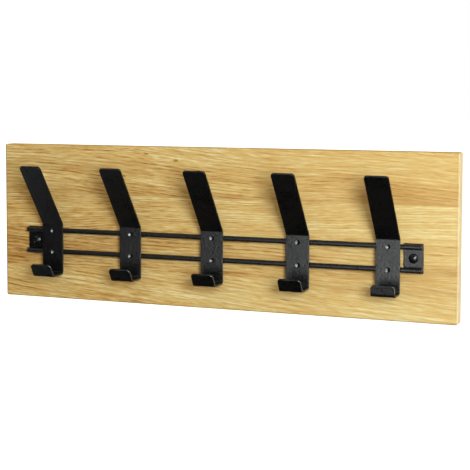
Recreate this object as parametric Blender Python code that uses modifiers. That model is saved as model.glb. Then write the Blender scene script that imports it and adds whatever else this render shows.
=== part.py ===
"""Wall hook rack: five double hooks of bent steel strip on a two-rod rail, on an oak panel.

Metres, +Z up. The origin is the middle of the panel's back face, which lies against the wall
in the plane y = 0. The room is on the -Y side, and X runs to the right along the panel.
"""

import math

import bmesh
import bpy
from mathutils import Vector

# Panel of four oak staves, glued edge to edge
PANEL_LENGTH = 0.600
PANEL_HEIGHT = 0.200
PANEL_THICKNESS = 0.020
PANEL_ARRIS = 0.0025
STAVE_JOINTS = (0.0426, 0.0913, 0.1376)

# Rail: two round rods on a plate at each end
ROD_DIAMETER = 0.0064
ROD_LENGTH = 0.522
ROD_HEIGHTS = {"lower": 0.0621, "upper": 0.0896}
END_PLATE_WIDTH = 0.0234
END_PLATE_HEIGHT = 0.0354
END_PLATE_THICKNESS = 0.0020
END_PLATE_SPACING = 0.500
RAIL_OFFSET = -0.002

# Hooks: one strip of steel each, bent to a long prong at the top and a short J at the bottom
HOOK_PITCH = 0.1108
HOOK_WIDTH = 0.029
HOOK_THICKNESS = 0.0025
HOOK_BEND_RADIUS = 0.00375
HOOK_CORNER_RADIUS = 0.004
PRONG_LENGTH = 0.0965
PRONG_LEAN = math.radians(37.2)
PRONG_BEND_HEIGHT = 0.0986
TROUGH_HEIGHT = 0.0342
TROUGH_DEPTH = 0.0243
LIP_LENGTH = 0.0172
LIP_LEAN = math.radians(30.0)
# The hook at the right-hand end has a shallower J with a shorter, steeper lip.
END_TROUGH_DEPTH = 0.0215
END_LIP_LENGTH = 0.0130
END_LIP_LEAN = math.radians(12.0)
PLUG_HOLE_DIAMETER = 0.0058
PLUG_DISH = 0.0008

# Round-headed wood screws that hold the rail
RAIL_SCREW_HEAD_DIAMETER = 0.0114
RAIL_SCREW_HEAD_HEIGHT = 0.0030
RAIL_SCREW_SHANK_DIAMETER = 0.0040
RAIL_SCREW_LENGTH = 0.0160
CROSS_RECESS_LENGTH = 0.0048
CROSS_RECESS_WIDTH = 0.0011
CROSS_RECESS_DEPTH = 0.0018

# Keyhole hangers let into the back
HANGER_SPACING = 0.440
HANGER_HEIGHT_ON_PANEL = 0.1690
HANGER_WIDTH = 0.018
HANGER_LENGTH = 0.046
HANGER_THICKNESS = 0.0020
HANGER_INSET = 0.0002
HANGER_SCREW_SPACING = 0.034
KEYHOLE_ENTRY_DIAMETER = 0.0095
KEYHOLE_SLOT_WIDTH = 0.0052
KEYHOLE_DROP = 0.0090
RELIEF_WIDTH = 0.0130
RELIEF_LENGTH = 0.0220
RELIEF_DEPTH = 0.0110
HANGER_SCREW_HEAD_DIAMETER = 0.0060
HANGER_SCREW_HEAD_HEIGHT = 0.0016
HANGER_SCREW_SHANK_DIAMETER = 0.0029
HANGER_SCREW_LENGTH = 0.0120

# Clearance that every piece keeps to its neighbour
GAP = 0.0003
CUT = 0.001
SIDES = 32

FRONT = -PANEL_THICKNESS
END_PLATE_BACK = FRONT - GAP
END_PLATE_FRONT = END_PLATE_BACK - END_PLATE_THICKNESS
ROD_CENTRE = END_PLATE_FRONT - GAP - ROD_DIAMETER / 2
STRIP_BACK = ROD_CENTRE - ROD_DIAMETER / 2 - GAP
STRIP_CENTRE = STRIP_BACK - HOOK_THICKNESS / 2


def height(above_bottom_edge):
    """World Z of a height measured from the panel's bottom edge."""
    return above_bottom_edge - PANEL_HEIGHT / 2


def new_collection(name):
    collection = bpy.data.collections.new(name)
    bpy.context.scene.collection.children.link(collection)
    return collection


def new_material(name, colour, roughness, metallic):
    material = bpy.data.materials.new(name)
    material.use_nodes = True
    shader = material.node_tree.nodes["Principled BSDF"]
    shader.inputs["Base Color"].default_value = (*colour, 1.0)
    shader.inputs["Roughness"].default_value = roughness
    shader.inputs["Metallic"].default_value = metallic
    return material


def clear_scene():
    for obj in list(bpy.data.objects):
        bpy.data.objects.remove(obj, do_unlink=True)


clear_scene()
RACK = new_collection("wall_hook_rack")
CUTTERS = new_collection("cutters")

OAK = new_material("oiled_oak", (0.62, 0.42, 0.20), 0.50, 0.0)
BLACK = new_material("black_powder_coat", (0.022, 0.023, 0.026), 0.55, 0.0)
ZINC = new_material("zinc_plated_steel", (0.62, 0.62, 0.60), 0.32, 1.0)


def add_object(name, mesh, material, location=(0, 0, 0), rotation=(0, 0, 0)):
    obj = bpy.data.objects.new(name, mesh)
    obj.location = location
    obj.rotation_euler = rotation
    if material and not mesh.materials:
        mesh.materials.append(material)
    RACK.objects.link(obj)
    return obj


def as_cutter(obj):
    for collection in list(obj.users_collection):
        collection.objects.unlink(obj)
    CUTTERS.objects.link(obj)
    obj.hide_render = True
    obj.display_type = "WIRE"
    return obj


def cut(obj, cutter):
    modifier = obj.modifiers.new("cut_" + cutter.name, "BOOLEAN")
    modifier.operation = "DIFFERENCE"
    modifier.object = cutter


def smooth(obj, angle=35):
    obj.data.shade_smooth()
    obj.data.set_sharp_from_angle(angle=math.radians(angle))


def bevel(obj, width, segments=2):
    modifier = obj.modifiers.new("eased_edges", "BEVEL")
    modifier.width = width
    modifier.segments = segments
    modifier.limit_method = "ANGLE"
    modifier.angle_limit = math.radians(40)


def box_mesh(name, size, centre=(0, 0, 0)):
    bm = bmesh.new()
    bmesh.ops.create_cube(bm, size=1.0)
    bmesh.ops.scale(bm, vec=size, verts=bm.verts)
    bmesh.ops.translate(bm, vec=centre, verts=bm.verts)
    mesh = bpy.data.meshes.new(name)
    bm.to_mesh(mesh)
    bm.free()
    return mesh


def box_cutter(name, size, location):
    return as_cutter(add_object(name, box_mesh(name, size), None, location))


def bore_cutter(name, diameter, front, back, x, z, sides=SIDES):
    """A cylinder along Y from y = front to y = back."""
    bpy.ops.mesh.primitive_cylinder_add(
        vertices=sides,
        radius=diameter / 2,
        depth=back - front,
        location=(x, (front + back) / 2, z),
        rotation=(math.pi / 2, 0, 0),
    )
    obj = bpy.context.active_object
    obj.name = name
    return as_cutter(obj)


def turned_mesh(name, profile, sides=SIDES):
    """Revolves a profile of (radius, y), which ends on the axis at both ends, about the Y axis."""
    mesh = bpy.data.meshes.new(name + "_profile")
    points = [(radius, y, 0.0) for radius, y in profile]
    mesh.from_pydata(points, [(i, i + 1) for i in range(len(points) - 1)], [])
    obj = bpy.data.objects.new(name + "_profile", mesh)
    CUTTERS.objects.link(obj)
    modifier = obj.modifiers.new("turn", "SCREW")
    modifier.axis = "Y"
    modifier.steps = sides
    modifier.render_steps = sides
    modifier.use_merge_vertices = True
    modifier.merge_threshold = 0.00001
    graph = bpy.context.evaluated_depsgraph_get()
    turned = bpy.data.meshes.new_from_object(obj.evaluated_get(graph))
    turned.name = name
    bpy.data.objects.remove(obj, do_unlink=True)
    bm = bmesh.new()
    bm.from_mesh(turned)
    bmesh.ops.remove_doubles(bm, verts=bm.verts, dist=0.00001)
    bmesh.ops.recalc_face_normals(bm, faces=bm.faces)
    bm.to_mesh(turned)
    bm.free()
    return turned


# Panel ---------------------------------------------------------------------------------


def saw(bm, z, keep_above):
    """Cuts the solid at a height and closes the cut with a flat face."""
    normal = Vector((0, 0, -1 if keep_above else 1))
    geometry = bm.verts[:] + bm.edges[:] + bm.faces[:]
    cut_through = bmesh.ops.bisect_plane(
        bm, geom=geometry, plane_co=(0, 0, z), plane_no=normal, clear_outer=True
    )
    edges = [item for item in cut_through["geom_cut"] if isinstance(item, bmesh.types.BMEdge)]
    bmesh.ops.edgenet_fill(bm, edges=edges)


def stave_mesh(name, bottom, top):
    """The slice of the rounded panel between two glue joints."""
    bm = bmesh.new()
    bmesh.ops.create_cube(bm, size=1.0)
    bmesh.ops.scale(bm, vec=(PANEL_LENGTH, PANEL_THICKNESS, PANEL_HEIGHT), verts=bm.verts)
    bmesh.ops.translate(bm, vec=(0, FRONT / 2, 0), verts=bm.verts)
    bmesh.ops.bevel(bm, geom=bm.edges[:], offset=PANEL_ARRIS, segments=3, affect="EDGES", profile=0.5)
    if bottom > 0:
        saw(bm, height(bottom) + GAP / 2, keep_above=True)
    if top < PANEL_HEIGHT:
        saw(bm, height(top) - GAP / 2, keep_above=False)
    bmesh.ops.recalc_face_normals(bm, faces=bm.faces)
    mesh = bpy.data.meshes.new(name)
    bm.to_mesh(mesh)
    bm.free()
    return mesh


stave_edges = (0.0, *STAVE_JOINTS, PANEL_HEIGHT)
staves = []
for number in range(1, len(stave_edges)):
    stave_name = f"panel_stave_{number}"
    stave_shape = stave_mesh(stave_name, stave_edges[number - 1], stave_edges[number])
    staves.append(add_object(stave_name, stave_shape, OAK))
rail_stave = staves[1]
hanger_stave = staves[3]


# Rail ----------------------------------------------------------------------------------

for rod_name, rod_height in ROD_HEIGHTS.items():
    bpy.ops.mesh.primitive_cylinder_add(
        vertices=SIDES,
        radius=ROD_DIAMETER / 2,
        depth=ROD_LENGTH,
        location=(RAIL_OFFSET, ROD_CENTRE, height(rod_height)),
        rotation=(0, math.pi / 2, 0),
    )
    rod = bpy.context.active_object
    bpy.context.collection.objects.unlink(rod)
    rod.name = "rail_rod_" + rod_name
    rod.data.materials.append(BLACK)
    RACK.objects.link(rod)
    bevel(rod, 0.0004)
    smooth(rod)

SCREW_HEIGHT = height(sum(ROD_HEIGHTS.values()) / 2)
SHANK_HOLE = RAIL_SCREW_SHANK_DIAMETER + 2 * GAP
HEAD_SEAT = END_PLATE_FRONT - GAP
SCREW_TIP = HEAD_SEAT + RAIL_SCREW_LENGTH


def domed_head(radius, rise, steps=6):
    """Half of a low dome: from its crown on the axis to its rim."""
    points = []
    for step in range(steps + 1):
        angle = math.radians(90) * step / steps
        points.append((radius * math.sin(angle), -rise * (0.25 + 0.75 * math.cos(angle))))
    return points


def rail_screw_mesh():
    """A round-headed wood screw along Y, its head towards -Y and the head's seat at y = 0."""
    shank = RAIL_SCREW_SHANK_DIAMETER / 2
    profile = domed_head(RAIL_SCREW_HEAD_DIAMETER / 2, RAIL_SCREW_HEAD_HEIGHT)
    profile += [
        (RAIL_SCREW_HEAD_DIAMETER / 2, 0.0),
        (shank, 0.0),
        (shank, RAIL_SCREW_LENGTH - 0.004),
        (0.0, RAIL_SCREW_LENGTH),
    ]
    return turned_mesh("rail_screw", profile)


screw_shape = rail_screw_mesh()
for side, sign in (("left", -1), ("right", 1)):
    plate_x = RAIL_OFFSET + sign * END_PLATE_SPACING / 2
    plate_centre = (plate_x, END_PLATE_BACK - END_PLATE_THICKNESS / 2, SCREW_HEIGHT)
    plate_size = (END_PLATE_WIDTH, END_PLATE_THICKNESS, END_PLATE_HEIGHT)
    plate_shape = box_mesh("rail_end_plate_" + side, plate_size)
    plate = add_object("rail_end_plate_" + side, plate_shape, BLACK, plate_centre)
    bevel(plate, 0.0004)
    bore = bore_cutter(
        "rail_screw_bore_" + side, SHANK_HOLE, HEAD_SEAT - CUT, SCREW_TIP + GAP, plate_x, SCREW_HEIGHT
    )
    cut(plate, bore)
    cut(rail_stave, bore)
    screw = add_object(
        "rail_screw_" + side, screw_shape.copy(), BLACK, (plate_x, HEAD_SEAT, SCREW_HEIGHT)
    )
    smooth(screw)
    recess_y = HEAD_SEAT - RAIL_SCREW_HEAD_HEIGHT + CROSS_RECESS_DEPTH - 0.002
    for arm, (wide, tall) in enumerate(
        ((CROSS_RECESS_LENGTH, CROSS_RECESS_WIDTH), (CROSS_RECESS_WIDTH, CROSS_RECESS_LENGTH))
    ):
        cut(
            screw,
            box_cutter(
                f"cross_recess_{side}_{arm}", (wide, 0.004, tall), (plate_x, recess_y, SCREW_HEIGHT)
            ),
        )


# Hooks ---------------------------------------------------------------------------------


def bent_path(corners, radius, steps=6):
    """Follows straight runs between corners, with an arc of the given radius at each inner corner."""
    points = [Vector(corners[0])]
    for before, corner, after in zip(corners, corners[1:], corners[2:]):
        corner = Vector(corner)
        back = (Vector(before) - corner).normalized()
        ahead = (Vector(after) - corner).normalized()
        half = back.angle(ahead) / 2
        centre = corner + (back + ahead).normalized() * (radius / math.sin(half))
        first = corner + back * (radius / math.tan(half)) - centre
        last = corner + ahead * (radius / math.tan(half)) - centre
        sweep = first.angle(last)
        for step in range(steps + 1):
            share = step / steps
            arc = first * math.sin((1 - share) * sweep) + last * math.sin(share * sweep)
            points.append(centre + arc / math.sin(sweep))
    points.append(Vector(corners[-1]))
    return points


def with_rounded_ends(path, radius, half_width, steps=3):
    """Pairs each point of the path with the strip's half width there, with rounded corners at both ends."""

    def end_rows(end, inward):
        rows = []
        for step in range(steps):
            angle = math.radians(90) * step / steps
            rows.append(
                (
                    end + inward * (radius * (1 - math.cos(angle))),
                    half_width - radius * (1 - math.sin(angle)),
                )
            )
        rows.append((end + inward * radius, half_width))
        return rows

    first = end_rows(path[0], (path[1] - path[0]).normalized())
    last = end_rows(path[-1], (path[-2] - path[-1]).normalized())
    middle = [(point, half_width) for point in path[1:-1]]
    return first + middle + last[::-1]


def hook_mesh(trough_depth, lip_length, lip_lean):
    """The strip's middle surface, from the prong's tip down to the lip's edge."""
    prong_run = PRONG_LENGTH * math.sin(PRONG_LEAN)
    prong_rise = PRONG_LENGTH * math.cos(PRONG_LEAN)
    lip_y = STRIP_CENTRE - trough_depth
    corners = (
        (0, STRIP_CENTRE - prong_run, height(PRONG_BEND_HEIGHT) + prong_rise),
        (0, STRIP_CENTRE, height(PRONG_BEND_HEIGHT)),
        (0, STRIP_CENTRE, height(TROUGH_HEIGHT)),
        (0, lip_y, height(TROUGH_HEIGHT)),
        (
            0,
            lip_y - lip_length * math.sin(lip_lean),
            height(TROUGH_HEIGHT) + lip_length * math.cos(lip_lean),
        ),
    )
    path = bent_path(corners, HOOK_BEND_RADIUS)
    bm = bmesh.new()
    rows = []
    for point, half in with_rounded_ends(path, HOOK_CORNER_RADIUS, HOOK_WIDTH / 2):
        left = bm.verts.new((-half, point.y, point.z))
        right = bm.verts.new((half, point.y, point.z))
        rows.append((left, right))
    for (left, right), (next_left, next_right) in zip(rows, rows[1:]):
        bm.faces.new((left, right, next_right, next_left))
    bmesh.ops.recalc_face_normals(bm, faces=bm.faces)
    mesh = bpy.data.meshes.new("double_hook")
    bm.to_mesh(mesh)
    bm.free()
    return mesh


def plug_mesh():
    """A plug weld: a disc that fills the strip's hole over the rod, with a dished front."""
    radius = PLUG_HOLE_DIAMETER / 2 - GAP
    front = -HOOK_THICKNESS + 0.0005
    profile = [
        (0.0, front + PLUG_DISH),
        (0.5 * radius, front + 0.75 * PLUG_DISH),
        (0.8 * radius, front + 0.3 * PLUG_DISH),
        (radius, front),
        (radius, 0.0),
        (0.0, 0.0),
    ]
    return turned_mesh("plug", profile, 24)


hook_shape = hook_mesh(TROUGH_DEPTH, LIP_LENGTH, LIP_LEAN)
end_hook_shape = hook_mesh(END_TROUGH_DEPTH, END_LIP_LENGTH, END_LIP_LEAN)
plug_shape = plug_mesh()
for number in range(1, 6):
    hook_x = RAIL_OFFSET + (number - 3) * HOOK_PITCH
    shape = hook_shape if number < 5 else end_hook_shape
    hook = add_object(f"hook_{number}", shape, BLACK, (hook_x, 0, 0))
    solid = hook.modifiers.new("strip_thickness", "SOLIDIFY")
    solid.thickness = HOOK_THICKNESS
    solid.offset = 0
    solid.use_even_offset = True
    bevel(hook, 0.0003)
    for rod_name, rod_height in ROD_HEIGHTS.items():
        hole_z = height(rod_height)
        hole = bore_cutter(
            f"plug_hole_{number}_{rod_name}",
            PLUG_HOLE_DIAMETER,
            STRIP_BACK - HOOK_THICKNESS - CUT,
            STRIP_BACK + GAP,
            hook_x,
            hole_z,
            24,
        )
        cut(hook, hole)
        add_object(
            f"plug_weld_{number}_{rod_name}", plug_shape, BLACK, (hook_x, STRIP_BACK, hole_z)
        )
for shape in (hook_shape, end_hook_shape):
    shape.shade_smooth()
    shape.set_sharp_from_angle(angle=math.radians(35))
plug_shape.shade_smooth()
plug_shape.set_sharp_from_angle(angle=math.radians(35))


# Keyhole hangers -----------------------------------------------------------------------

HANGER_BACK = -HANGER_INSET
HANGER_FRONT = HANGER_BACK - HANGER_THICKNESS
HANGER_Z = height(HANGER_HEIGHT_ON_PANEL)
POCKET_FLOOR = HANGER_FRONT - GAP


def countersunk_mesh(name, clearance):
    """A countersunk wood screw along Y with its flat head at y = 0 towards the wall, grown by a clearance."""
    head = HANGER_SCREW_HEAD_DIAMETER / 2 + clearance
    shank = HANGER_SCREW_SHANK_DIAMETER / 2 + clearance
    tip = -HANGER_SCREW_LENGTH - clearance
    profile = [
        (0.0, 4 * clearance),
        (head, 4 * clearance),
        (head, -0.0002),
        (shank, -HANGER_SCREW_HEAD_HEIGHT),
        (shank, tip + 0.003),
        (0.0, tip),
    ]
    return turned_mesh(name, profile, 24)


screw_solid = countersunk_mesh("hanger_screw", 0.0)
screw_hole = countersunk_mesh("hanger_screw_hole", GAP)
for side, sign in (("left", -1), ("right", 1)):
    hanger_x = sign * HANGER_SPACING / 2
    pocket = box_cutter(
        "hanger_pocket_" + side,
        (HANGER_WIDTH + 2 * GAP, CUT - POCKET_FLOOR, HANGER_LENGTH + 2 * GAP),
        (hanger_x, (CUT + POCKET_FLOOR) / 2, HANGER_Z),
    )
    relief = box_cutter(
        "keyhole_relief_" + side,
        (RELIEF_WIDTH, RELIEF_DEPTH, RELIEF_LENGTH),
        (hanger_x, (CUT - RELIEF_DEPTH) / 2, HANGER_Z),
    )
    cut(hanger_stave, pocket)
    cut(hanger_stave, relief)

    plate_size = (HANGER_WIDTH, HANGER_THICKNESS, HANGER_LENGTH)
    plate_y = HANGER_BACK - HANGER_THICKNESS / 2
    hanger_shape = box_mesh("keyhole_hanger_" + side, plate_size)
    hanger = add_object("keyhole_hanger_" + side, hanger_shape, ZINC, (hanger_x, plate_y, HANGER_Z))
    entry_z = HANGER_Z - KEYHOLE_DROP / 2
    slot_end_z = HANGER_Z + KEYHOLE_DROP / 2
    through = (POCKET_FLOOR - CUT, CUT)
    entry = bore_cutter(
        "keyhole_entry_" + side, KEYHOLE_ENTRY_DIAMETER, *through, hanger_x, entry_z
    )
    slot_end = bore_cutter(
        "keyhole_slot_end_" + side, KEYHOLE_SLOT_WIDTH, *through, hanger_x, slot_end_z
    )
    slot = box_cutter(
        "keyhole_slot_" + side,
        (KEYHOLE_SLOT_WIDTH, CUT + HANGER_THICKNESS, KEYHOLE_DROP),
        (hanger_x, plate_y, HANGER_Z),
    )
    for cutter in (entry, slot_end, slot):
        cut(hanger, cutter)

    for place, offset in (("top", HANGER_SCREW_SPACING / 2), ("bottom", -HANGER_SCREW_SPACING / 2)):
        position = (hanger_x, HANGER_BACK, HANGER_Z + offset)
        label = f"hanger_screw_{side}_{place}"
        add_object(label, screw_solid, ZINC, position)
        hole = as_cutter(add_object(label + "_hole", screw_hole, None, position))
        cut(hanger, hole)
        cut(hanger_stave, hole)
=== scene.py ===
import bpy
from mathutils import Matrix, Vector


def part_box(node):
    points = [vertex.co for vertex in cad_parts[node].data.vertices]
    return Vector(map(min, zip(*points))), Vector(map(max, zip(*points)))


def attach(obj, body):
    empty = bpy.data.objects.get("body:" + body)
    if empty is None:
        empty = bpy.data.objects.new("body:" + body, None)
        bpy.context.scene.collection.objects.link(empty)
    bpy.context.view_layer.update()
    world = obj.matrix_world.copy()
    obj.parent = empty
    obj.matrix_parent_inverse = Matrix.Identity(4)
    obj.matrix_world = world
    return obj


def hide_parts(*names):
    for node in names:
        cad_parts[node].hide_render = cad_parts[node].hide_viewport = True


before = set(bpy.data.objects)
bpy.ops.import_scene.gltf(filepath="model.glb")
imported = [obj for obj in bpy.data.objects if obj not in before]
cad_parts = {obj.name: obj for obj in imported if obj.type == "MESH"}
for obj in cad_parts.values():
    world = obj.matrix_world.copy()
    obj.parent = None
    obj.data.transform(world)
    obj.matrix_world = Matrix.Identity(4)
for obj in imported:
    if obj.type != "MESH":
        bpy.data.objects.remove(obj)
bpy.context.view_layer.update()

import math

import bmesh
import bpy
import numpy as np
from mathutils import Euler, Matrix

# ---------------------------------------------------------------- Oak panel
# Four staves of European oak, planed, glued edge to edge and cut to 600 by 200 by 20 mm.
# The long grain runs along the panel, the outer edges are sanded round, and the face is oiled.


class Signal:
    """One socket of a material: arithmetic on it adds Math nodes, and node() adds any other kind."""

    def __init__(self, tree, socket=None):
        self.tree = tree
        self.socket = socket

    def node(self, kind, settings, sockets, out=0):
        """A new node with its settings and sockets filled in, as the Signal of its socket out."""
        made = self.tree.nodes.new(kind)
        for key, value in settings.items():
            if key == "stops":
                ramp = made.color_ramp
                while len(ramp.elements) < len(value):
                    ramp.elements.new(0.5)
                for element, (place, colour) in zip(ramp.elements, value):
                    element.position = place
                    element.color = (*colour, 1.0)
            else:
                setattr(made, key, value)
        for key, value in sockets.items():
            if isinstance(value, Signal):
                self.tree.links.new(value.socket, made.inputs[key])
            else:
                made.inputs[key].default_value = value
        return Signal(self.tree, made.outputs[out])

    def math(self, operation, *values):
        return self.node("ShaderNodeMath", {"operation": operation}, dict(enumerate(values)))

    def __add__(self, other):
        return self.math("ADD", self, other)

    __radd__ = __add__

    def __sub__(self, other):
        return self.math("SUBTRACT", self, other)

    def __rsub__(self, other):
        return self.math("SUBTRACT", other, self)

    def __mul__(self, other):
        return self.math("MULTIPLY", self, other)

    __rmul__ = __mul__

    def __truediv__(self, other):
        return self.math("DIVIDE", self, other)

    def step(self, low, high, to_low=0.0, to_high=1.0):
        """A smooth step of this value from low to high, between two results."""
        return self.node(
            "ShaderNodeMapRange",
            {"interpolation_type": "SMOOTHSTEP"},
            {0: self, 1: low, 2: high, 3: to_low, 4: to_high},
        )

    def noise(self, scale, detail=2.0, roughness=0.5, seed=0.0, place=None):
        """Noise from 0 to 1 over a place, squeezed along each axis by scale and moved by seed."""
        away = (seed, 1.7 * seed, 2.3 * seed)
        grid = self.node("ShaderNodeMapping", {}, {0: place or self.place(), 1: away, 3: scale})
        return self.node(
            "ShaderNodeTexNoise", {}, {"Vector": grid, "Scale": 1.0, "Detail": detail, "Roughness": roughness}
        )

    def place(self):
        """The point of the object that is being shaded."""
        return self.node("ShaderNodeTexCoord", {}, {}, "Object")

    def axes(self):
        """The three coordinates of a point of the object."""
        parts = self.node("ShaderNodeSeparateXYZ", {}, {0: self.place()})
        return [Signal(self.tree, output) for output in parts.socket.node.outputs]

    def mix(self, blend, factor, under, over):
        """Two colours blended, from under at factor 0 to the blend with over at factor 1."""
        return self.node(
            "ShaderNodeMix",
            {"data_type": "RGBA", "blend_type": blend},
            {0: factor, 6: under, 7: over},
            2,
        )


def new_finish(name, **fixed):
    """A material with its shader's fixed sockets set, the Signal its pattern grows from, and the shader."""
    material = bpy.data.materials.new(name)
    material.use_nodes = True
    shader = material.node_tree.nodes["Principled BSDF"]
    for socket, value in fixed.items():
        shader.inputs[socket.replace("_", " ")].default_value = value
    return material, Signal(material.node_tree), shader


def feed(pattern, shader, **signals):
    """Links each signal to the shader's socket of that name."""
    for socket, signal in signals.items():
        pattern.tree.links.new(signal.socket, shader.inputs[socket.replace("_", " ")])


def oak(name, seed, pith, slope, ring, tone, fade, streaks, cream, heart, knots=()):
    """Solid oak. The grain's height is z plus the board's slope times x, bent by a slow wander. Rings are
    circles about a pith line, in y and that height, and each year goes from a row of open pores to dense
    pale wood. tone is the board's paleness, and fade grades it along x as painted light, its gain towards
    the right; the figure also grows fainter to the right. A band of brown heartwood lies about the z of
    heart, as wide and as strong as heart says, and streaks spreads it thinly over the board. Knots push
    the rings up and down around them. The sawn ends, where x is 0.3 m either side, carry a pale wash of
    painted light, and their front arrises a painted shade."""
    heart_z, heart_width, heart_strength = heart
    heartwood = (0.72, 0.56, 0.41, 1.0)
    knot_brown = (0.45, 0.28, 0.15, 1.0)
    # The next three colours are painted light and shade: a pale wash of light on the sawn ends, and shade on
    # the left and right front arrises.
    end_light = (0.87, 0.83, 0.66, 1.0)
    left_arris_shade = (0.42, 0.36, 0.30, 1.0)
    right_arris_shade = (0.80, 0.77, 0.72, 1.0)
    finish, grain, shader = new_finish(name, IOR=1.45, Specular_IOR_Level=0.16)
    x, y, z = grain.axes()
    wander = grain.noise((3.6, 9.0, 10.0), 1.0, 0.4, seed) - 0.5
    ripple = grain.noise((15.0, 30.0, 42.0), 2.0, 0.5, seed + 3.1) - 0.5
    bend = wander * 0.021
    height = z + x * slope + bend + ripple * 0.0019
    spot = None
    for knot_x, knot_z, size in knots:
        away_x, away_z = (x - knot_x) / (2.4 * size), (z - knot_z) / size
        near = (away_x * away_x + away_z * away_z).step(0.0, 5.0, 1.0, 0.0)
        height = height + (near * 1.2 * size) * grain.math("SIGN", away_z)
        spot = near if spot is None else grain.math("MAXIMUM", spot, near)
    lie = grain.node("ShaderNodeCombineXYZ", {}, {0: x, 1: y, 2: height})
    across_y, across_z = y - pith[0], height - pith[1]
    radius = grain.math("SQRT", across_y * across_y + across_z * across_z)
    year = radius / ring + grain.noise((2.0, 25.0, 25.0), 1.0, 0.5, seed + 4.0, lie) * 0.8
    share = grain.math("FRACT", year)
    number = grain.math("FLOOR", year) + seed
    lot = grain.node("ShaderNodeTexWhiteNoise", {"noise_dimensions": "1D"}, {"W": number})
    early = share.step(0.0, 0.10) * share.step(0.16, 0.46, 1.0, 0.0) * (lot * 0.75 + 0.25)
    late = share.step(0.40, 0.66) * share.step(0.80, 0.98, 1.0, 0.0)
    fibre = grain.noise((19.0, 520.0, 520.0), 3.0, 0.62, seed + 1.3, lie)
    thread = grain.noise((60.0, 980.0, 980.0), 2.0, 0.6, seed + 2.2, lie)
    cloud = grain.noise((3.6, 60.0, 60.0), 3.0, 0.6, seed + 5.0, lie)
    drift = grain.noise((5.0, 16.0, 16.0), 2.0, 0.5, seed + 6.0, lie)
    clump = grain.noise((64.0, 640.0, 640.0), 1.0, 0.5, seed + 7.7, lie).step(0.48, 0.66)
    fleck = grain.noise((52.0, 520.0, 520.0), 1.0, 0.5, seed + 7.1, lie).step(0.50, 0.66)
    vessel = grain.noise((95.0, 2600.0, 2600.0), 1.0, 0.4, seed + 8.8, lie).step(0.56, 0.68)
    ray = grain.noise((150.0, 40.0, 210.0), 1.0, 0.5, seed + 12.0, lie).step(0.68, 0.80)
    pores = grain.math("MAXIMUM", vessel * (early * 0.8 + 0.2), clump * (early * 0.9 + 0.1) * 0.8)
    pale = grain.noise((8.0, 170.0, 170.0), 2.0, 0.6, seed + 9.0, lie).step(0.46, 0.66) * (late * 0.8 + 0.2)
    figure = (fibre - 0.5) * 1.25 + (thread - 0.5) * 1.3 + (cloud - 0.5) * 0.6 + (drift - 0.5) * 0.3
    figure = figure + (lot - 0.5) * 0.08 + pale * cream + fleck * 0.13 + ray * 0.05
    figure = figure - early * 0.20 - pores * 0.34
    # Painted light: x times fade grades each stave's tone along its length to follow the light. The figure is
    # also weaker towards the right.
    level = tone + x * fade + figure * x.step(-0.15, 0.30, 1.0, 0.62)
    body = grain.node(
        "ShaderNodeValToRGB",
        {
            "stops": (
                (0.00, (0.270, 0.130, 0.036)),
                (0.22, (0.500, 0.272, 0.082)),
                (0.45, (0.700, 0.435, 0.147)),
                (0.66, (0.755, 0.545, 0.212)),
                (0.85, (0.820, 0.665, 0.325)),
                (1.00, (0.900, 0.770, 0.440)),
            )
        },
        {0: level},
    )
    away = grain.math("ABSOLUTE", z + bend - heart_z)
    band = away.step(0.3 * heart_width, 1.2 * heart_width, heart_strength, 0.0)
    brown = grain.noise((3.4, 60.0, 60.0), 3.0, 0.6, seed + 9.4, lie).step(0.42, 0.66) * (band + streaks)
    body = grain.mix("MULTIPLY", brown, body, heartwood)
    if spot is not None:
        body = grain.mix("MULTIPLY", spot * 0.8, body, knot_brown)
    # Painted light: both sawn ends are mixed towards a pale colour that stands for the light falling on the
    # end faces.
    end_light_mask = grain.math("ABSOLUTE", x).step(0.2978, 0.2999, 0.0, 0.5)
    body = grain.mix("MIX", end_light_mask, body, end_light)
    # Painted shade: the left front arris, turned away from the light, is darkened.
    body = grain.mix("MULTIPLY", x.step(-0.2989, -0.2973, 0.9, 0.0), body, left_arris_shade)
    # Painted shade: the right front arris is darkened where it would catch the light in a bright line.
    arris = x.step(0.2970, 0.2980, 0.0, 1.0) * x.step(0.2990, 0.2999, 1.0, 0.0)
    body = grain.mix("MULTIPLY", arris, body, right_arris_shade)
    relief = fibre * 0.35 + thread * 0.25 - pores * 0.9 - early * 0.2
    skin = grain.node("ShaderNodeBump", {}, {"Strength": 0.30, "Distance": 0.0003, "Height": relief})
    rough = 0.40 + fibre * 0.16 + pores * 0.2 - pale * 0.06
    feed(grain, shader, Base_Color=body, Normal=skin, Roughness=rough)
    return finish


def four_corners(steps):
    """Angles once round, with both ends of each quarter turn kept, and the two signs that tell on which side
    across and on which side up that quarter's corner stands."""
    quarter = np.linspace(0.0, math.pi / 2, steps)
    turn = np.concatenate([quarter + k * math.pi / 2 for k in range(4)])
    quadrant = np.repeat(np.arange(4), steps)
    across = np.where((quadrant == 0) | (quadrant == 3), 1.0, -1.0)
    up = np.where(quadrant < 2, 1.0, -1.0)
    return turn, across, up


def rounded_block(low, high, radii_low, radii_high, steps=7):
    """A sphere pulled apart into a block. A point with the sphere's normal n sits at the corner centre on
    its side plus n times the rounding there, so each octant of the sphere becomes a rounded corner."""
    low, high, radii_low, radii_high = map(np.array, (low, high, radii_low, radii_high))
    around, y_side, z_side = four_corners(steps)
    along = np.concatenate([np.linspace(-math.pi / 2, 0, steps), np.linspace(0, math.pi / 2, steps)])
    x_side = np.repeat([-1.0, 1.0], steps)[:, None]
    turn, lean = np.meshgrid(around, along)
    normal = np.stack([np.sin(lean), np.cos(lean) * np.cos(turn), np.cos(lean) * np.sin(turn)], -1)
    sides = np.stack(np.broadcast_arrays(x_side, y_side, z_side), -1)
    radius = np.where(sides > 0, radii_high, radii_low)
    corner = np.where(sides > 0, high - radii_high, low + radii_low)
    return corner + radius * normal


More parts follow.
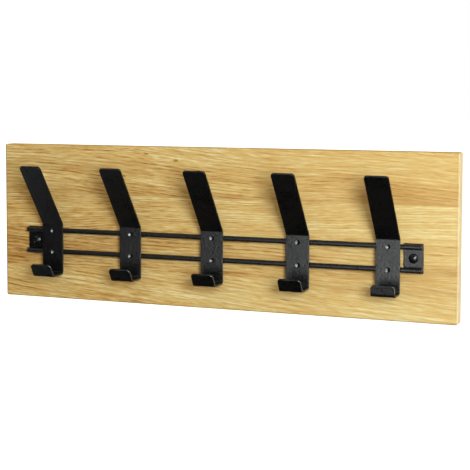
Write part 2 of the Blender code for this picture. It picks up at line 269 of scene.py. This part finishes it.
def grid_mesh(name, points, caps=True, edge=None):
    """A mesh from a grid of points (row, column, 3). Columns wrap round, and with caps each end row closes
    with a face. edge is how near an arris each point lies, from 0 to 1, which the finish reads."""
    rows, columns = points.shape[:2]
    here = np.arange(rows * columns).reshape(rows, columns)
    ahead = np.roll(here, -1, axis=1)
    quads = np.stack([here[:-1], ahead[:-1], ahead[1:], here[1:]], -1).reshape(-1, 4).tolist()
    if caps:
        quads.append(here[0, ::-1].tolist())
        quads.append(here[-1].tolist())
    mesh = bpy.data.meshes.new(name)
    mesh.from_pydata(points.reshape(-1, 3).tolist(), [], quads)
    if edge is not None:
        nearness = np.broadcast_to(edge, points.shape[:2]).ravel().astype(np.float32)
        mesh.attributes.new("edge", "FLOAT", "POINT").data.foreach_set("value", nearness)
    tidy = bmesh.new()
    tidy.from_mesh(mesh)
    bmesh.ops.remove_doubles(tidy, verts=tidy.verts, dist=2e-6)
    bmesh.ops.dissolve_degenerate(tidy, edges=tidy.edges, dist=1e-7)
    bmesh.ops.recalc_face_normals(tidy, faces=tidy.faces)
    tidy.to_mesh(mesh)
    tidy.free()
    return mesh


sharp_angle = math.radians(32)


def show(name, mesh, finish, stands_for):
    """Puts a finished mesh on the rack in place of its CAD node."""
    piece = bpy.data.objects.new(name, mesh)
    bpy.context.scene.collection.objects.link(piece)
    mesh.materials.append(finish)
    mesh.shade_smooth()
    mesh.set_sharp_from_angle(angle=sharp_angle)
    even = piece.modifiers.new("flat_faces_lie_flat", "WEIGHTED_NORMAL")
    even.keep_sharp = True
    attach(piece, "root")
    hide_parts(stands_for)
    return piece


# Each stave is its own board with its own pith, tone and figure, as they come out of the pile. The glue
# joint between two of them is a hairline: each stands back from it by glue_line.
lowest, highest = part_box("panel_stave_1")[0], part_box("panel_stave_4")[1]
round_over = 0.0025
glue_line = 0.00002
joints = [
    (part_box(f"panel_stave_{number}")[1][2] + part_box(f"panel_stave_{number + 1}")[0][2]) / 2
    for number in (1, 2, 3)
]
edges = [lowest[2], *joints, highest[2]]
stave_oaks = (
    oak("oak_stave_1", seed=11.0, pith=(0.120, -0.190), slope=0.09, ring=0.0034, tone=0.64, fade=0.24,
        streaks=0.25, cream=0.15, heart=(-0.060, 0.010, 0.50)),
    oak("oak_stave_2", seed=23.0, pith=(0.100, 0.090), slope=0.02, ring=0.0031, tone=0.52, fade=0.45,
        streaks=0.35, cream=0.12, heart=(-0.049, 0.015, 0.80)),
    oak("oak_stave_3", seed=37.0, pith=(0.040, 0.240), slope=-0.02, ring=0.0030, tone=0.57, fade=0.40,
        streaks=0.15, cream=0.24, heart=(0.030, 0.004, 0.2)),
    oak("oak_stave_4", seed=53.0, pith=(0.090, 0.210), slope=0.055, ring=0.0036, tone=0.61, fade=-0.08,
        streaks=0.15, cream=0.16, heart=(0.054, 0.026, 0.58),
        knots=((-0.128, 0.062, 0.0010), (-0.055, 0.083, 0.0009), (-0.096, 0.091, 0.0008))),
)
staves = []
for number, finish in enumerate(stave_oaks, 1):
    bottom, top = edges[number - 1], edges[number]
    foot = round_over if number == 1 else glue_line
    head = round_over if number == 4 else glue_line
    block = rounded_block(
        (lowest[0], lowest[1], bottom + (0 if number == 1 else glue_line)),
        (highest[0], highest[1], top - (0 if number == 4 else glue_line)),
        (round_over, round_over, foot),
        (round_over, round_over, head),
    )
    name = f"oak_stave_{number}"
    staves.append(show(name, grid_mesh(name, block), finish, f"panel_stave_{number}"))


# ---------------------------------------------------------------- Rail rods
# Two lengths of drawn round steel bar, sawn square with the burr taken off, welded to the end
# plates and powder-coated black with them in a fine matt texture.


def powder_coat(name, seed, calm=0.0, shine=0.5):
    """Baked powder: a deep black film whose fine pebbled skin glints, with a slow drift in its gloss. It lies
    smoother and glossier where it pooled, as calm goes from 0 to 1, and mirrors more as shine grows. Where
    the mesh says that an arris is near, patches turn to grey, half-metallic steel: partly wear rubbed
    through, partly a painted highlight on the arrises that face the light."""
    deep_black = (0.0010, 0.0011, 0.0013, 1.0)
    soft_black = (0.0016, 0.00176, 0.00208, 1.0)
    pale_dust = (0.20, 0.20, 0.21, 1.0)
    rubbed_steel_highlight = (0.30, 0.31, 0.33, 1.0)
    finish, film, shader = new_finish(name, IOR=1.55, Specular_IOR_Level=shine)
    pebble = film.noise((1400.0, 1400.0, 1400.0), 2.0, 0.55, seed)
    flow = film.noise((340.0, 340.0, 340.0), 3.0, 0.6, seed + 4.0)
    drift = film.noise((38.0, 38.0, 38.0), 3.0, 0.55, seed + 8.0)
    dust = film.noise((1100.0, 1100.0, 1100.0), 1.0, 0.5, seed + 12.0).step(0.62, 0.74)
    # Partly wear and partly a painted highlight: the arrises turn to grey, half-metallic steel, most of all
    # on the edges that face the light.
    worn_and_lit = film.node("ShaderNodeAttribute", {"attribute_name": "edge"}, {}, "Fac")
    worn_and_lit = (worn_and_lit * 1.3 + (flow - 0.5) * 0.8).step(0.35, 0.9)
    tone = film.mix("MIX", drift.step(0.3, 0.7), deep_black, soft_black)
    tone = film.mix("MIX", dust * 0.03, tone, pale_dust)
    tone = film.mix("MIX", worn_and_lit * 0.7, tone, rubbed_steel_highlight)
    bump = {"Strength": 1.0 - 0.75 * calm, "Distance": 0.0005, "Height": pebble * 0.3 + flow}
    skin = film.node("ShaderNodeBump", {}, bump)
    rough = 0.34 - 0.06 * calm + (flow - 0.5) * (0.45 - 0.3 * calm) + (drift - 0.5) * 0.14 - worn_and_lit * 0.02
    feed(film, shader, Base_Color=tone, Roughness=rough, Normal=skin, Metallic=worn_and_lit * 0.8)
    return finish


def turned(name, profile, centre, axis, sides=64, wobble=None):
    """A turned shape. A profile of (distance along the axis, radius) is carried round the axis, and
    wobble adds a height along the axis for each radius, angle and row."""
    profile = np.array(profile)
    axis = np.array(axis, float)
    one = np.array([0.0, 0.0, 1.0])
    two = np.cross(axis, one)
    turn = np.linspace(0, 2 * math.pi, sides, endpoint=False)[None, :]
    along = np.repeat(profile[:, 0:1], sides, 1)
    radius = np.repeat(profile[:, 1:2], sides, 1)
    if wobble is not None:
        along = along + wobble(radius, np.repeat(turn, len(profile), 0), np.arange(len(profile))[:, None])
    points = (
        np.array(centre)
        + along[..., None] * axis
        + (radius * np.cos(turn))[..., None] * one
        + (radius * np.sin(turn))[..., None] * two
    )
    return grid_mesh(name, points)


rod_coat = powder_coat("rod_coat", 3.0)
rod_break = 0.0004
end_band = 0.001
for level in ("lower", "upper"):
    low, high = (np.array(corner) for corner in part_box(f"rail_rod_{level}"))
    centre = (low + high) / 2
    half = (high[0] - low[0]) / 2
    radius = (high[2] - low[2]) / 2
    bend = np.linspace(0, math.pi / 2, 5)
    nose = [(half - rod_break * (1 - math.cos(a)), radius - rod_break * (1 - math.sin(a))) for a in bend]
    tail = [(-along, size) for along, size in nose]
    profile = [(-half, 0.0), (-half, radius - 2 * rod_break), *tail, (-half + end_band, radius)]
    profile += [(half - end_band, radius), *nose[::-1], (half, radius - 2 * rod_break), (half, 0.0)]
    rod = turned(f"rod_{level}", profile, centre, (1, 0, 0))
    show(f"rod_{level}", rod, rod_coat, f"rail_rod_{level}")


# ---------------------------------------------------------------- Rail end plates
# A small rectangle of 2 mm steel sheet under the rods' ends, with one clear hole between the
# rods for a wood screw. Its corners and edges are lightly filed before coating.


def outline(width, height, corner):
    """A rectangle's outline with round corners: each corner's centre plus a quarter circle about it."""
    turn, right, up = four_corners(6)
    across = right * (width / 2 - corner) + corner * np.cos(turn)
    rise = up * (height / 2 - corner) + corner * np.sin(turn)
    return np.stack([across, rise], -1)


def pierced_plate(name, centre, width, height, thickness, corner, edge, hole):
    """A flat plate round one hole. Rows run up the hole's wall and its chamfer, out over the front, round
    the outer edge and back in over the rear. Columns go once round, so the grid closes like a ring."""
    chamfer = 0.0003
    rim = outline(width, height, corner)
    angle = np.arctan2(rim[:, 1], rim[:, 0])
    ring = np.stack([np.cos(angle), np.sin(angle)], -1)
    half = thickness / 2
    rows = [(hole * ring, half), (hole * ring, -half + chamfer), ((hole + chamfer) * ring, -half)]
    rows.append((outline(width - 3 * edge, height - 3 * edge, corner - 0.75 * edge), -half))
    for share in np.linspace(0, math.pi / 2, 5):
        inset = edge * (1 - math.sin(share))
        flat = outline(width - 2 * inset, height - 2 * inset, corner - inset)
        rows.append((flat, -half + edge * (1 - math.cos(share))))
    rows += [(flat, -depth) for flat, depth in rows[-1:2:-1]]
    rows.append(rows[0])
    grid = [np.stack([flat[:, 0], np.full(len(flat), depth), flat[:, 1]], -1) for flat, depth in rows]
    return grid_mesh(name, np.stack(grid) + np.array(centre), caps=False)


# Painted shade: the left plate's coat is a copy that mirrors less, so it looks darker than the right one.
for side, plate_coat in (
    ("left", powder_coat("plate_coat_left", 9.0, shine=0.22)),
    ("right", powder_coat("plate_coat_right", 7.0)),
):
    low, high = (np.array(corner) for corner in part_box(f"rail_end_plate_{side}"))
    width, thickness, height = high - low
    name = f"end_plate_{side}"
    plate = pierced_plate(
        name, (low + high) / 2, width, height, thickness, corner=0.0011, edge=0.0004, hole=0.0023
    )
    show(name, plate, plate_coat, f"rail_end_plate_{side}")


# ---------------------------------------------------------------- Rail screws
# A round-headed wood screw of blackened steel through each end plate into the panel, with a
# pressed cross recess in its low dome.


def screw(name, seat, out, head_radius, head_rise, shank, length, dome, recess, countersink=0.0):
    """A screw turned round its axis. The head's height falls from the crown as a cosine of the radius
    times dome, and two crossed slots that fade towards the rim are pressed into it. Under the head comes
    a plain neck, then rings of thread in turn cut and full, then the point."""
    neck, half_pitch, thread_end, tip = 0.002, 0.0005, 0.0035, 0.003
    rim = 0.0003
    inner = np.linspace(0.0, recess * 1.15, 22)
    outer = np.linspace(recess * 1.15, head_radius * 0.985, 12)[1:]
    radii = np.concatenate([inner, outer])
    crown = head_rise * (1 - dome + dome * np.cos(np.clip(radii / head_radius, 0, 1) * math.pi / 2))
    profile = list(zip(crown, radii))
    profile += [(crown[-1] * 0.80, head_radius)]
    if countersink:
        profile += [(0.0, head_radius - 0.00004), (-countersink, shank)]
    else:
        profile += [(rim, head_radius), (0.0, head_radius - rim), (0.0, shank)]
    threads = np.arange(-countersink - neck, -length + thread_end, -half_pitch)
    depth = np.where(np.arange(len(threads)) % 2 == 0, shank * 0.78, shank)
    profile += list(zip(threads, depth))
    profile += [(-length + tip, shank * 0.8), (-length, 0.0)]

    def pressed(radius, turn, row):
        one, two = np.abs(radius * np.cos(turn)), np.abs(radius * np.sin(turn))
        arm = np.clip((recess * 0.21 - np.minimum(one, two)) / (recess * 0.07), 0, 1)
        fade = np.clip((recess - radius) / (recess * 0.45), 0, 1)
        return np.where(row < len(inner), -head_rise * 0.55 * arm * fade, 0.0)

    return turned(name, profile, seat, out, sides=96, wobble=pressed)


oil_black = (0.005, 0.005, 0.0055, 1.0)
rubbed_black = (0.022, 0.021, 0.020, 1.0)
blackened, steel, shader = new_finish("blackened_steel", Metallic=0.0, IOR=1.45)
grip = steel.noise((900.0, 900.0, 900.0), 3.0, 0.6, 2.0)
rubbed = steel.noise((160.0, 160.0, 160.0), 3.0, 0.6, 6.0).step(0.55, 0.8)
feed(
    steel,
    shader,
    Base_Color=steel.mix("MIX", rubbed * 0.6, oil_black, rubbed_black),
    Roughness=grip * 0.12 + 0.17 - rubbed * 0.05,
    Normal=steel.node("ShaderNodeBump", {}, {"Strength": 0.25, "Distance": 0.00006, "Height": grip}),
)
for side in ("left", "right"):
    low, high = (np.array(corner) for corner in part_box(f"rail_screw_{side}"))
    radius = (high[0] - low[0]) / 2
    rise = 0.0030
    length = high[1] - low[1] - rise
    seat = ((low[0] + high[0]) / 2, low[1] + rise, (low[2] + high[2]) / 2)
    node = f"rail_screw_{side}"
    round_head = screw(
        node, seat, (0, -1, 0), radius, rise, shank=0.0020, length=length, dome=0.78, recess=0.0027
    )
    show(f"round_head_screw_{side}", round_head, blackened, node)


# ---------------------------------------------------------------- Double hooks
# Each hook is one length of 29 by 2.5 mm steel strip with its ends cut round at the corners,
# folded in a press to a long prong, an upright and a short J, drilled over each rod and coated.
# The one at the right-hand end has a shallower J with a shorter, steeper lip.


def fold(corners, radius):
    """A strip's middle line in the (y, z) plane: straight runs, with an arc inside every corner. The arc
    goes about the point on the corner's half-angle line that lies a radius away from both runs."""
    lead = 0.0004
    points = [np.array(corners[0])]
    for before, corner, after in zip(corners, corners[1:], corners[2:]):
        before, corner, after = map(np.array, (before, corner, after))
        back = (before - corner) / np.linalg.norm(before - corner)
        ahead = (after - corner) / np.linalg.norm(after - corner)
        half = math.acos(np.clip(back @ ahead, -1, 1)) / 2
        middle = corner + (back + ahead) / np.linalg.norm(back + ahead) * radius / math.sin(half)
        first = corner + back * radius / math.tan(half) - middle
        last = corner + ahead * radius / math.tan(half) - middle
        sweep = math.acos(np.clip(first @ last / radius**2, -1, 1))
        share = np.linspace(0, 1, 9)[:, None]
        arc = (first * np.sin((1 - share) * sweep) + last * np.sin(share * sweep)) / math.sin(sweep)
        points += [middle + first + back * lead, *(middle + arc), middle + last + ahead * lead]
    points.append(np.array(corners[-1]))
    return np.array(points)


def folded_strip(name, path, x, width, thickness, corner, edge):
    """A rounded strip section carried along a path. Near each end the width follows a quarter circle of
    the corner radius, and the thickness a quarter circle of the edge radius. The arris value is highest
    half-way round each edge, and full on the right-hand edge outside the J, which faces the light: there
    it is partly wear and partly a painted highlight."""
    steps = np.linalg.norm(np.diff(path, axis=0), axis=1)
    run = np.concatenate([[0.0], np.cumsum(steps)])
    quarter = np.linspace(0, math.pi / 2, 7)
    ends = np.concatenate([edge * (1 - np.cos(quarter)), corner * (1 - np.cos(quarter)), [1.1 * corner]])
    stations = np.unique(np.concatenate([run, ends, run[-1] - ends]).round(7))
    spot = np.stack([np.interp(stations, run, path[:, k]) for k in range(2)], -1)
    between = (run[:-1] + run[1:]) / 2
    slope = np.stack([np.interp(stations, between, np.diff(path[:, k]) / steps) for k in range(2)], -1)
    slope /= np.linalg.norm(slope, axis=1)[:, None]
    out = np.stack([-slope[:, 1], slope[:, 0]], -1)
    reach = np.minimum(stations, run[-1] - stations)
    narrow = corner - np.sqrt(np.clip(corner**2 - np.clip(corner - reach, 0, None) ** 2, 0, None))
    thin = edge - np.sqrt(np.clip(edge**2 - np.clip(edge - reach, 0, None) ** 2, 0, None))
    turn, right, up = four_corners(6)
    across = right * (width / 2 - edge - narrow[:, None]) + edge * np.cos(turn)
    thick = (thickness / 2 - edge) * up + (edge - thin[:, None]) * np.sin(turn)
    y, z = (spot[:, None, k] + thick * out[:, None, k] for k in range(2))
    grid = np.stack([x + across, y, z], -1)
    # Partly wear and partly a painted highlight: the right-hand edge outside the J faces the light and gets
    # the full arris value.
    rubbed_and_lit = np.where((right > 0) & (up > 0), 1.0, 0.35)
    rim = np.sin(2 * turn.reshape(4, 6) % math.pi).reshape(1, -1) * rubbed_and_lit
    tip = np.where(reach < edge, np.sin(2 * np.arccos(np.clip(1 - reach / edge, 0, 1))), 0.0)[:, None]
    return grid_mesh(name, grid, edge=np.maximum(rim, tip * 0.4))


def carve(mesh, *cutters):
    """The mesh with the cutters' solids taken out of it."""
    name = mesh.name
    blank = bpy.data.objects.new("blank", mesh)
    bpy.context.scene.collection.objects.link(blank)
    tools = []
    for cutter in cutters:
        tool = bpy.data.objects.new("tool", cutter)
        bpy.context.scene.collection.objects.link(tool)
        tools.append(tool)
        bite = blank.modifiers.new("bite", "BOOLEAN")
        bite.object = tool
        bite.operation = "DIFFERENCE"
    graph = bpy.context.evaluated_depsgraph_get()
    carved = bpy.data.meshes.new_from_object(blank.evaluated_get(graph))
    for thing in (blank, *tools):
        bpy.data.objects.remove(thing, do_unlink=True)
    mesh.name = name + "_blank"
    carved.name = name
    return carved


def spare_hole_rims(mesh, x, y, bottom, top):
    """Sets the arris value to 0 within reach of the upright's middle line x, between two heights, so that
    the strip's own arrises carry the wear and painted highlight but the rims of the holes don't."""
    reach, half_wall = 0.005, 0.0014
    spots = np.empty(len(mesh.vertices) * 3, np.float32)
    mesh.vertices.foreach_get("co", spots)
    spots = spots.reshape(-1, 3)
    arris = np.empty(len(spots), np.float32)
    mesh.attributes["edge"].data.foreach_get("value", arris)
    drilled = (np.abs(spots[:, 0] - x) < reach) & (np.abs(spots[:, 1] - y) < half_wall)
    arris[drilled & (spots[:, 2] < top) & (spots[:, 2] > bottom)] = 0.0
    mesh.attributes["edge"].data.foreach_set("value", arris)


strip_thickness = 0.0025
fold_radius = 0.0036
fold_clear = 0.002
upright = 0.0644
prong, prong_lean = 0.0965, math.radians(37.2)
# A J is its depth, its lip's length and its lip's lean.
usual_j = 0.0243, 0.0172, math.radians(30)
end_j = 0.0215, 0.0130, math.radians(12)
# The drill's profile from the strip's face inwards, with a small countersink at the mouth.
hole_radius, mouth_radius = 0.0029, 0.0034
drill = [(-0.0008, 0.0), (-0.0008, 0.0046), (0.0, mouth_radius), (0.00025, hole_radius)]
drill += [(0.0032, hole_radius), (0.0032, 0.0)]
# Painted shade: hook 1's coat is a copy that mirrors less, so it looks darker than the others.
hook_coats = [
    powder_coat(f"hook_coat_{number}", 20.0 + 3 * number, shine=0.28 if number == 1 else 0.5)
    for number in range(1, 6)
]
for number, coat in enumerate(hook_coats, 1):
    low, high = (np.array(corner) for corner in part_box(f"hook_{number}"))
    middle_x = (low[0] + high[0]) / 2
    middle_y = high[1] - strip_thickness / 2
    floor_z = low[2] + strip_thickness / 2
    bend_z = floor_z + upright
    depth, lip, lip_lean = usual_j if number < 5 else end_j
    lip_y = middle_y - depth
    path = fold(
        [
            (middle_y - prong * math.sin(prong_lean), bend_z + prong * math.cos(prong_lean)),
            (middle_y, bend_z),
            (middle_y, floor_z),
            (lip_y, floor_z),
            (lip_y - lip * math.sin(lip_lean), floor_z + lip * math.cos(lip_lean)),
        ],
        fold_radius,
    )
    strip = folded_strip(
        f"hook_{number}", path, middle_x, high[0] - low[0], strip_thickness, corner=0.004, edge=0.00045
    )
    mouth_y = high[1] - strip_thickness
    drills = []
    for level in ("lower", "upper"):
        rod_low, rod_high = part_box(f"rail_rod_{level}")
        mouth = (middle_x, mouth_y, (rod_low[2] + rod_high[2]) / 2)
        drills.append(turned("drill", drill, mouth, (0, 1, 0), sides=48))
    carved = carve(strip, *drills)
    spare_hole_rims(carved, middle_x, middle_y, floor_z + fold_clear, bend_z - fold_clear)
    show(f"double_hook_{number}", carved, coat, f"hook_{number}")


# ---------------------------------------------------------------- Plug welds
# Each hook is fixed to a rod by a puddle of weld in the hole over it. The puddle shrinks as it
# sets, so it lies a little below the strip's face with a dished and slightly rippled top.


def weld_puddle(name, centre, radius, depth, sag, phase):
    """A short plug turned about -y. Its top sinks evenly from the rim to sag at the middle, is drawn down
    above and below the middle by the flow, and carries a swirl of ripples that fades at middle and rim."""
    dish_rows, wall_drop, ripple_height = 12, 0.0013, 0.00006
    dish = [(depth - sag * (1 - share), radius * share) for share in np.linspace(0, 1, dish_rows)]

    def flow(size, turn, row):
        swirl = np.sin(5 * size / radius * math.pi + phase) * 0.5 + np.cos(3 * turn + phase)
        drawn = np.sqrt(np.sin(turn) ** 2 + 0.3 * np.cos(turn) ** 2) - 1
        rough = ripple_height * swirl * (size / radius) * (1 - size / radius) * 4
        return np.where(row < dish_rows, rough + sag * drawn * size / radius, 0.0)

    profile = [*dish, (depth - wall_drop, radius), (0.0, radius), (0.0, 0.0)]
    return turned(name, profile, centre, (0, -1, 0), sides=48, wobble=flow)


hole_fit = 0.0002
puddle_coats = [powder_coat(f"puddle_coat_{number}", 50.0 + 3 * number, calm=1.0) for number in range(1, 6)]
for number, coat in enumerate(puddle_coats, 1):
    sag = 0.0022 - 0.0002 * number
    for level in ("lower", "upper"):
        node = f"plug_weld_{number}_{level}"
        low, high = (np.array(corner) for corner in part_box(node))
        radius = (high[0] - low[0]) / 2 + hole_fit
        centre = ((low[0] + high[0]) / 2, high[1], (low[2] + high[2]) / 2)
        phase = 1.7 * number + (2.9 if level == "upper" else 0.0)
        puddle = weld_puddle(node, centre, radius, high[1] - low[1], sag, phase)
        show(f"weld_puddle_{number}_{level}", puddle, coat, node)


# ---------------------------------------------------------------- Keyhole hangers
# Two stamped, zinc-plated steel hangers let into pockets in the panel's back, each held by two
# small countersunk screws. They hang the rack on two screws in the wall, whose heads lie in the reliefs.

dull_zinc = (0.56, 0.57, 0.58, 1.0)
bright_zinc = (0.72, 0.72, 0.71, 1.0)
tarnished_zinc = (0.52, 0.50, 0.44, 1.0)
plated, zinc, shader = new_finish("zinc_plate", Metallic=0.45)
spangle = zinc.noise((260.0, 260.0, 260.0), 2.0, 0.5, 1.0)
scratch = zinc.noise((90.0, 400.0, 2600.0), 2.0, 0.6, 3.0)
tarnish = zinc.noise((70.0, 70.0, 70.0), 3.0, 0.6, 5.0).step(0.45, 0.75)
silver = zinc.mix("MIX", spangle.step(0.35, 0.65), dull_zinc, bright_zinc)
feed(
    zinc,
    shader,
    Base_Color=zinc.mix("MIX", tarnish * 0.4, silver, tarnished_zinc),
    Roughness=spangle * 0.12 + scratch * 0.15 + tarnish * 0.12 + 0.18,
    Normal=zinc.node("ShaderNodeBump", {}, {"Strength": 0.2, "Distance": 0.00005, "Height": scratch}),
)
pocket_fit = 0.0003
pocket_corner, relief_corner = (0.0005,) * 3, (0.002,) * 3
pocket_proud, relief_proud = 0.002, 0.003
relief_width, relief_height, relief_depth = 0.013, 0.022, 0.011
cuts = []
for side in ("left", "right"):
    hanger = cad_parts[f"keyhole_hanger_{side}"]
    hanger.data.materials.clear()
    hanger.data.materials.append(plated)
    low, high = (np.array(corner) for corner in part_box(f"keyhole_hanger_{side}"))
    pocket = rounded_block(
        low - pocket_fit,
        (high[0] + pocket_fit, pocket_proud, high[2] + pocket_fit),
        pocket_corner,
        pocket_corner,
        steps=4,
    )
    middle = (low + high) / 2
    relief = rounded_block(
        (middle[0] - relief_width / 2, -relief_depth, middle[2] - relief_height / 2),
        (middle[0] + relief_width / 2, relief_proud, middle[2] + relief_height / 2),
        relief_corner,
        relief_corner,
        steps=5,
    )
    cuts += [grid_mesh("pocket", pocket), grid_mesh("relief", relief)]
    for place in ("top", "bottom"):
        node = f"hanger_screw_{side}_{place}"
        low, high = (np.array(corner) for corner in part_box(node))
        seat = ((low[0] + high[0]) / 2, high[1], (low[2] + high[2]) / 2)
        radius = (high[0] - low[0]) / 2
        length = high[1] - low[1]
        flat_head = screw(
            node, seat, (0, 1, 0), radius, head_rise=0.0002, shank=0.00145, length=length, dome=0.0,
            recess=0.0017, countersink=0.0016,
        )
        show(f"countersunk_{side}_{place}", flat_head, plated, node)
top_stave = staves[3]
pocketed = carve(top_stave.data.copy(), *cuts)
pocketed.set_sharp_from_angle(angle=sharp_angle)
top_stave.data = pocketed


# ---------------------------------------------------------------- Room
# A pale floor well below the rack and even white surroundings. A window lights the rack from the
# front and right, with weaker light from the right side and from high on the left. The three
# sheens are seen only as reflections in the black coat.


def soft_light(name, place, aim, width, tall, power, colour=(1.0, 1.0, 1.0)):
    """A rectangular lamp at a place, turned to face the aim."""
    lamp = bpy.data.lights.new(name, "AREA")
    lamp.shape = "RECTANGLE"
    lamp.size, lamp.size_y = width, tall
    lamp.energy = power
    lamp.color = colour
    light = bpy.data.objects.new(name, lamp)
    bpy.context.scene.collection.objects.link(light)
    light.location = place
    away = np.array(aim, float) - np.array(place, float)
    turn = math.atan2(-away[0], away[1])
    light.rotation_euler = (math.atan2(away[2], math.hypot(away[0], away[1])) + math.pi / 2, 0, turn)
    return light


soft_light("window_light", place=(0.95, -1.45, 0.32), aim=(0.05, 0.0, 0.0), width=0.50, tall=0.65, power=21.8,
           colour=(0.945, 1.03, 1.05))
soft_light("side_light", place=(1.8, -0.25, 0.25), aim=(0.3, 0.0, 0.0), width=0.8, tall=0.8, power=11.8,
           colour=(1.0, 0.98, 0.95))
soft_light("fill_light", place=(-1.6, -1.6, 1.6), aim=(0.0, 0.0, 0.0), width=1.2, tall=1.0, power=2.5,
           colour=(1.0, 0.99, 0.97))
sheens = (
    soft_light("front_sheen", place=(0.12, -1.62, -0.27), aim=(0.12, 0.0, -0.12), width=1.0, tall=0.9,
               power=10.0),
    soft_light("tall_sheen", place=(1.05, -1.45, 0.12), aim=(0.05, 0.0, 0.0), width=0.30, tall=1.8,
               power=20.0),
    soft_light("low_sheen", place=(-0.66, -0.15, -0.40), aim=(-0.24, -0.06, 0.04), width=0.18, tall=0.22,
               power=0.22, colour=(0.92, 0.97, 1.0)),
)
for sheen in sheens:
    sheen.visible_diffuse = False

pale = new_finish(
    "pale_floor",
    Roughness=0.8,
    Base_Color=(0.9, 0.9, 0.9, 1.0),
    Emission_Color=(1.0, 1.0, 1.0, 1.0),
    Emission_Strength=1.0,
)[0]
reach, ground_z = 40.0, -0.9
corners = [(-reach, -reach), (reach, -reach), (reach, reach), (-reach, reach)]
floor_mesh = bpy.data.meshes.new("floor")
floor_mesh.from_pydata([(*corner, ground_z) for corner in corners], [], [(0, 1, 2, 3)])
floor_mesh.materials.append(pale)
floor = bpy.data.objects.new("floor", floor_mesh)
bpy.context.scene.collection.objects.link(floor)
floor.visible_diffuse = False
floor.visible_glossy = False
floor.visible_shadow = False

# The surroundings are plain white to the eye. What they cast on the rack is warm and grows towards the
# upper right, and what the rack mirrors of them is dark but for a glow overhead.
white = (1.0, 1.0, 1.0, 1.0)
warm = (1.08, 0.84, 0.44, 1.0)
world = bpy.data.worlds.new("surroundings")
world.use_nodes = True
bpy.context.scene.world = world
backdrop = world.node_tree.nodes["Background"]
sky = Signal(world.node_tree)
seen = sky.node("ShaderNodeLightPath", {}, {}, "Is Camera Ray")
cast = sky.node("ShaderNodeLightPath", {}, {}, "Is Diffuse Ray")
heading = sky.node("ShaderNodeTexCoord", {}, {}, "Generated")
across = sky.node("ShaderNodeSeparateXYZ", {}, {0: heading}, "X")
height = sky.node("ShaderNodeSeparateXYZ", {}, {0: heading}, "Z")
ambient = (across * 0.6 + height * 0.8).step(-0.8, 0.8, 0.10, 0.47) * cast
mirrored = height.step(0.1, 0.8, 0.008, 0.30) * (1.0 - cast)
glow = ambient + mirrored
feed(sky, backdrop, Strength=seen * (1.0 - glow) + glow, Color=sky.mix("MIX", cast, white, warm))
bpy.context.scene.view_settings.view_transform = "Standard"


# ---------------------------------------------------------------- Camera
# A long lens well to the right of the rack and above its middle, turned to the left and tipped
# slightly down, with the frame moved down by the lens shift.

tip_down, turn_left, roll = 0.0710, 0.3703, 0.0019
lens = bpy.data.cameras.new("camera")
lens.sensor_width = 36.0
lens.lens = 97.0
lens.shift_y = -0.12
lens.clip_start = 0.05
lens.clip_end = 200.0
camera = bpy.data.objects.new("camera", lens)
bpy.context.scene.collection.objects.link(camera)
aim = Euler((math.pi / 2 - tip_down, 0.0, turn_left)).to_matrix().to_4x4() @ Matrix.Rotation(roll, 4, "Z")
camera.matrix_world = Matrix.Translation((0.58357, -1.46103, 0.17285)) @ aim
bpy.context.scene.camera = camera
